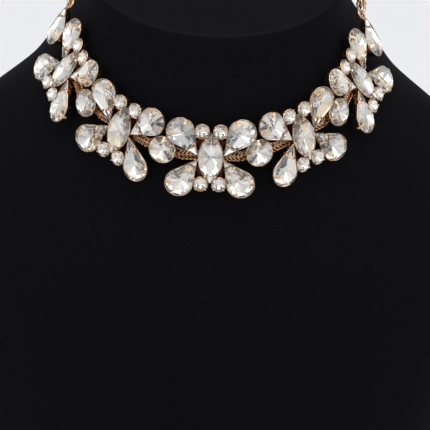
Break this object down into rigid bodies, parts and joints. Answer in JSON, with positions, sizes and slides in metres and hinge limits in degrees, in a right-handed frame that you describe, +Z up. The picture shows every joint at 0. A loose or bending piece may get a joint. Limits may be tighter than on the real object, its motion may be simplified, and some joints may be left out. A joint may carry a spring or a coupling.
{
  "type": "bib necklace on a neck bust",
  "caption": "Bib necklace: butterfly clusters of claw-set clear crystals in rose-gold cups, joined by round stones and worn on a fine chain round a plain black velvet neck bust.",
  "frame": {"origin": "on the floor under the bust, in the middle of its flat base", "axes": "+Z up, -Y the front where the bib lies, +X the wearer's left and the picture's right"},
  "size_m": [0.191, 0.1275, 0.182],
  "materials": {
    "velvet": "black velvet, matt with a faint bluish sheen at the edges",
    "rose_gold": "polished rose-gold plate",
    "crystal": "clear cut glass with a foiled back, polished"
  },
  "bodies": {
    "root": {"neck_bust": "velvet", "setting_centre": "rose_gold", "navette_centre": "crystal", "pear_centre_upper_left": "crystal", "pear_centre_upper_right": "crystal", "pear_centre_lower_left": "crystal", "pear_centre_lower_right": "crystal", "setting_left": "rose_gold", "navette_left": "crystal", "pear_left_upper_left": "crystal", "pear_left_upper_right": "crystal", "pear_left_lower_left": "crystal", "pear_left_lower_right": "crystal", "setting_right": "rose_gold", "navette_right": "crystal", "pear_right_upper_left": "crystal", "pear_right_upper_right": "crystal", "pear_right_lower_left": "crystal", "pear_right_lower_right": "crystal", "setting_left_outer": "rose_gold", "navette_left_outer": "crystal", "pear_left_outer_upper_left": "crystal", "pear_left_outer_upper_right": "crystal", "pear_left_outer_lower_left": "crystal", "pear_left_outer_lower_right": "crystal", "setting_right_outer": "rose_gold", "navette_right_outer": "crystal", "pear_right_outer_upper_left": "crystal", "pear_right_outer_upper_right": "crystal", "pear_right_outer_lower_left": "crystal", "pear_right_outer_lower_right": "crystal", "round_setting_inner_left": "rose_gold", "round_stone_inner_left": "crystal", "round_setting_inner_right": "rose_gold", "round_stone_inner_right": "crystal", "round_setting_outer_left": "rose_gold", "round_stone_outer_left": "crystal", "round_setting_outer_right": "rose_gold", "round_stone_outer_right": "crystal", "end_setting_left": "rose_gold", "end_pear_left": "crystal", "end_setting_right": "rose_gold", "end_pear_right": "crystal", "chain_left": "rose_gold", "chain_right": "rose_gold", "clasp": "rose_gold"}
  },
  "joints": []
}
